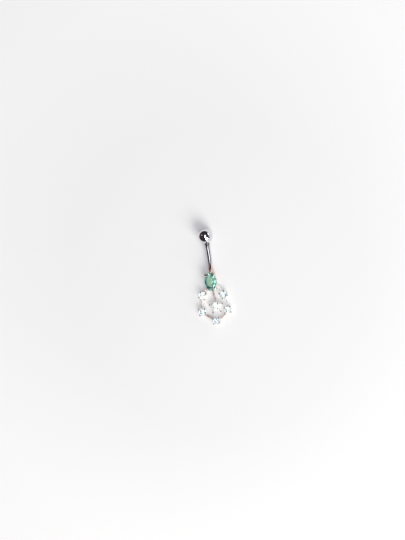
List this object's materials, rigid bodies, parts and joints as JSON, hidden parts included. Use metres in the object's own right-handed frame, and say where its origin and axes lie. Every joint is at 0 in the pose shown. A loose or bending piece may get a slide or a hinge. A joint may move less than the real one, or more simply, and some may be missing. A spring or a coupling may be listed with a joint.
{
  "type": "navel ring",
  "caption": "Curved steel bar with a screw-on ball, and a soldered silver ornament: an oval green stone over a pear-shaped wreath of round clear stones and a star.",
  "frame": {"origin": "on the surface, under the centre of the object's length and width, as it lies on its back", "axes": "+Y from the ornament towards the ball, +Z the way the stones face, +X across"},
  "size_m": [0.0114, 0.0312, 0.0048],
  "materials": {
    "polished_steel": "mirror polished surgical steel",
    "polished_silver": "polished silver",
    "green_stone": "cut and polished",
    "clear_stone": "cut and polished"
  },
  "bodies": {
    "ring": {"curved_bar": "polished_steel", "silver_frame": "polished_silver", "oval_stone": "green_stone", "round_stone_1": "clear_stone", "round_stone_2": "clear_stone", "round_stone_3": "clear_stone", "round_stone_4": "clear_stone", "round_stone_5": "clear_stone", "centre_stone": "clear_stone"},
    "ball": {"top_ball": "polished_steel"}
  },
  "joints": [
    {"name": "ball_unscrew", "type": "slide", "parent": "ring", "child": "ball", "axis": [0, 0.9563, 0.2924], "range_m": [0, 0.002]}
  ]
}
